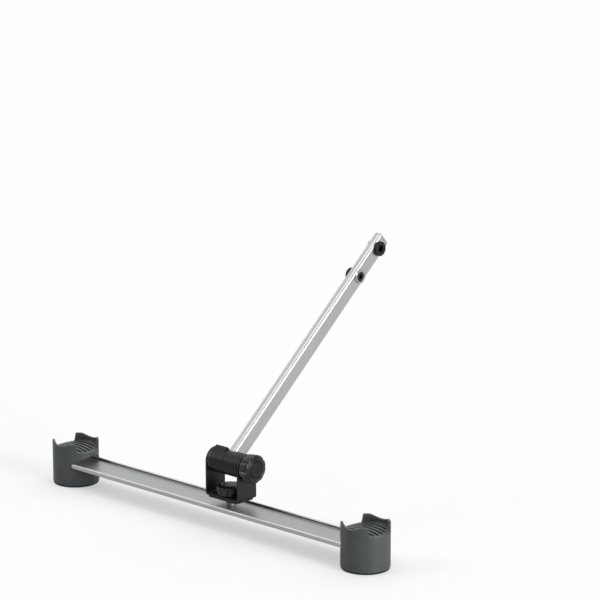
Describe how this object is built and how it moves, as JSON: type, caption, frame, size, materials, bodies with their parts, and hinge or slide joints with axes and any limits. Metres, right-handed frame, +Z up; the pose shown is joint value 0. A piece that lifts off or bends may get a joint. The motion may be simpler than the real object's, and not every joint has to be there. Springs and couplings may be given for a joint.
{
  "type": "floor bike rack",
  "caption": "Low floor rack: an aluminium rail on two round feet carries a swivelling U bracket with a tilting, knob-clamped arm that holds bicycle wheels by their axles.",
  "frame": {"origin": "on the floor, under the middle of the overall box at rest: midway between the two feet along X, and between the outer edge of the feet and the arm's tip along Y", "axes": "+X along the rail towards the pivot knob's side, +Y the way the arm leans, +Z up"},
  "size_m": [0.66, 0.3684, 0.3852],
  "materials": {
    "foot_plastic": "slate grey moulded plastic, fine matt grain",
    "black_plastic": "black moulded plastic, satin",
    "knob_plastic": "black moulded plastic, soft gloss",
    "rubber": "black rubber, matt",
    "black_steel": "black powder-coated steel, satin",
    "aluminium": "silver anodised aluminium, fine lengthwise grain",
    "steel": "zinc-plated or stainless steel"
  },
  "bodies": {
    "base": {"left_foot_shell": "foot_plastic", "left_foot_pad": "rubber", "left_rail_screw_1": "steel", "left_rail_screw_2": "steel", "right_foot_shell": "foot_plastic", "right_foot_pad": "rubber", "right_rail_screw_1": "steel", "right_rail_screw_2": "steel", "base_rail": "aluminium", "clamp_washer_lower": "steel", "clamp_bolt": "steel", "swivel_collar": "aluminium"},
    "bracket": {"swivel_pad": "black_plastic", "u_bracket": "black_steel", "clamp_washer_upper": "steel", "pivot_bolt": "steel", "friction_washer_left": "steel", "friction_washer_right": "steel", "pivot_washer": "steel"},
    "clamp_knob": {"clamp_knob": "knob_plastic", "clamp_knob_insert": "steel", "clamp_knob_cap": "black_plastic"},
    "arm": {"hub_left": "black_plastic", "hub_right": "black_plastic", "hub_screw_1": "steel", "hub_screw_2": "steel", "arm_tube": "aluminium", "arm_end_cap": "aluminium", "arm_screw_1": "steel", "arm_screw_2": "steel", "axle_bush_lower": "black_plastic", "axle_ring_lower": "steel", "axle_bush_upper": "black_plastic", "axle_ring_upper": "steel"},
    "pivot_knob": {"pivot_knob": "knob_plastic", "pivot_knob_insert": "steel", "pivot_knob_cap": "black_plastic"}
  },
  "joints": [
    {"name": "bracket_swivel", "type": "hinge", "parent": "base", "child": "bracket", "pos_m": [0.035, -0.14918, 0.0472], "axis": [0, 0, 1], "range_deg": [-90, 90]},
    {"name": "clamp_knob_turn", "type": "hinge", "parent": "base", "child": "clamp_knob", "pos_m": [0.035, -0.14918, 0.0514], "axis": [0, 0, 1], "range_deg": [0, 720]},
    {"name": "arm_tilt", "type": "hinge", "parent": "bracket", "child": "arm", "pos_m": [0.035, -0.14918, 0.097], "axis": [1, 0, 0], "range_deg": [-44.6, 143.4]},
    {"name": "pivot_knob_turn", "type": "hinge", "parent": "bracket", "child": "pivot_knob", "pos_m": [0.0702, -0.14918, 0.097], "axis": [1, 0, 0], "range_deg": [0, 720]}
  ]
}
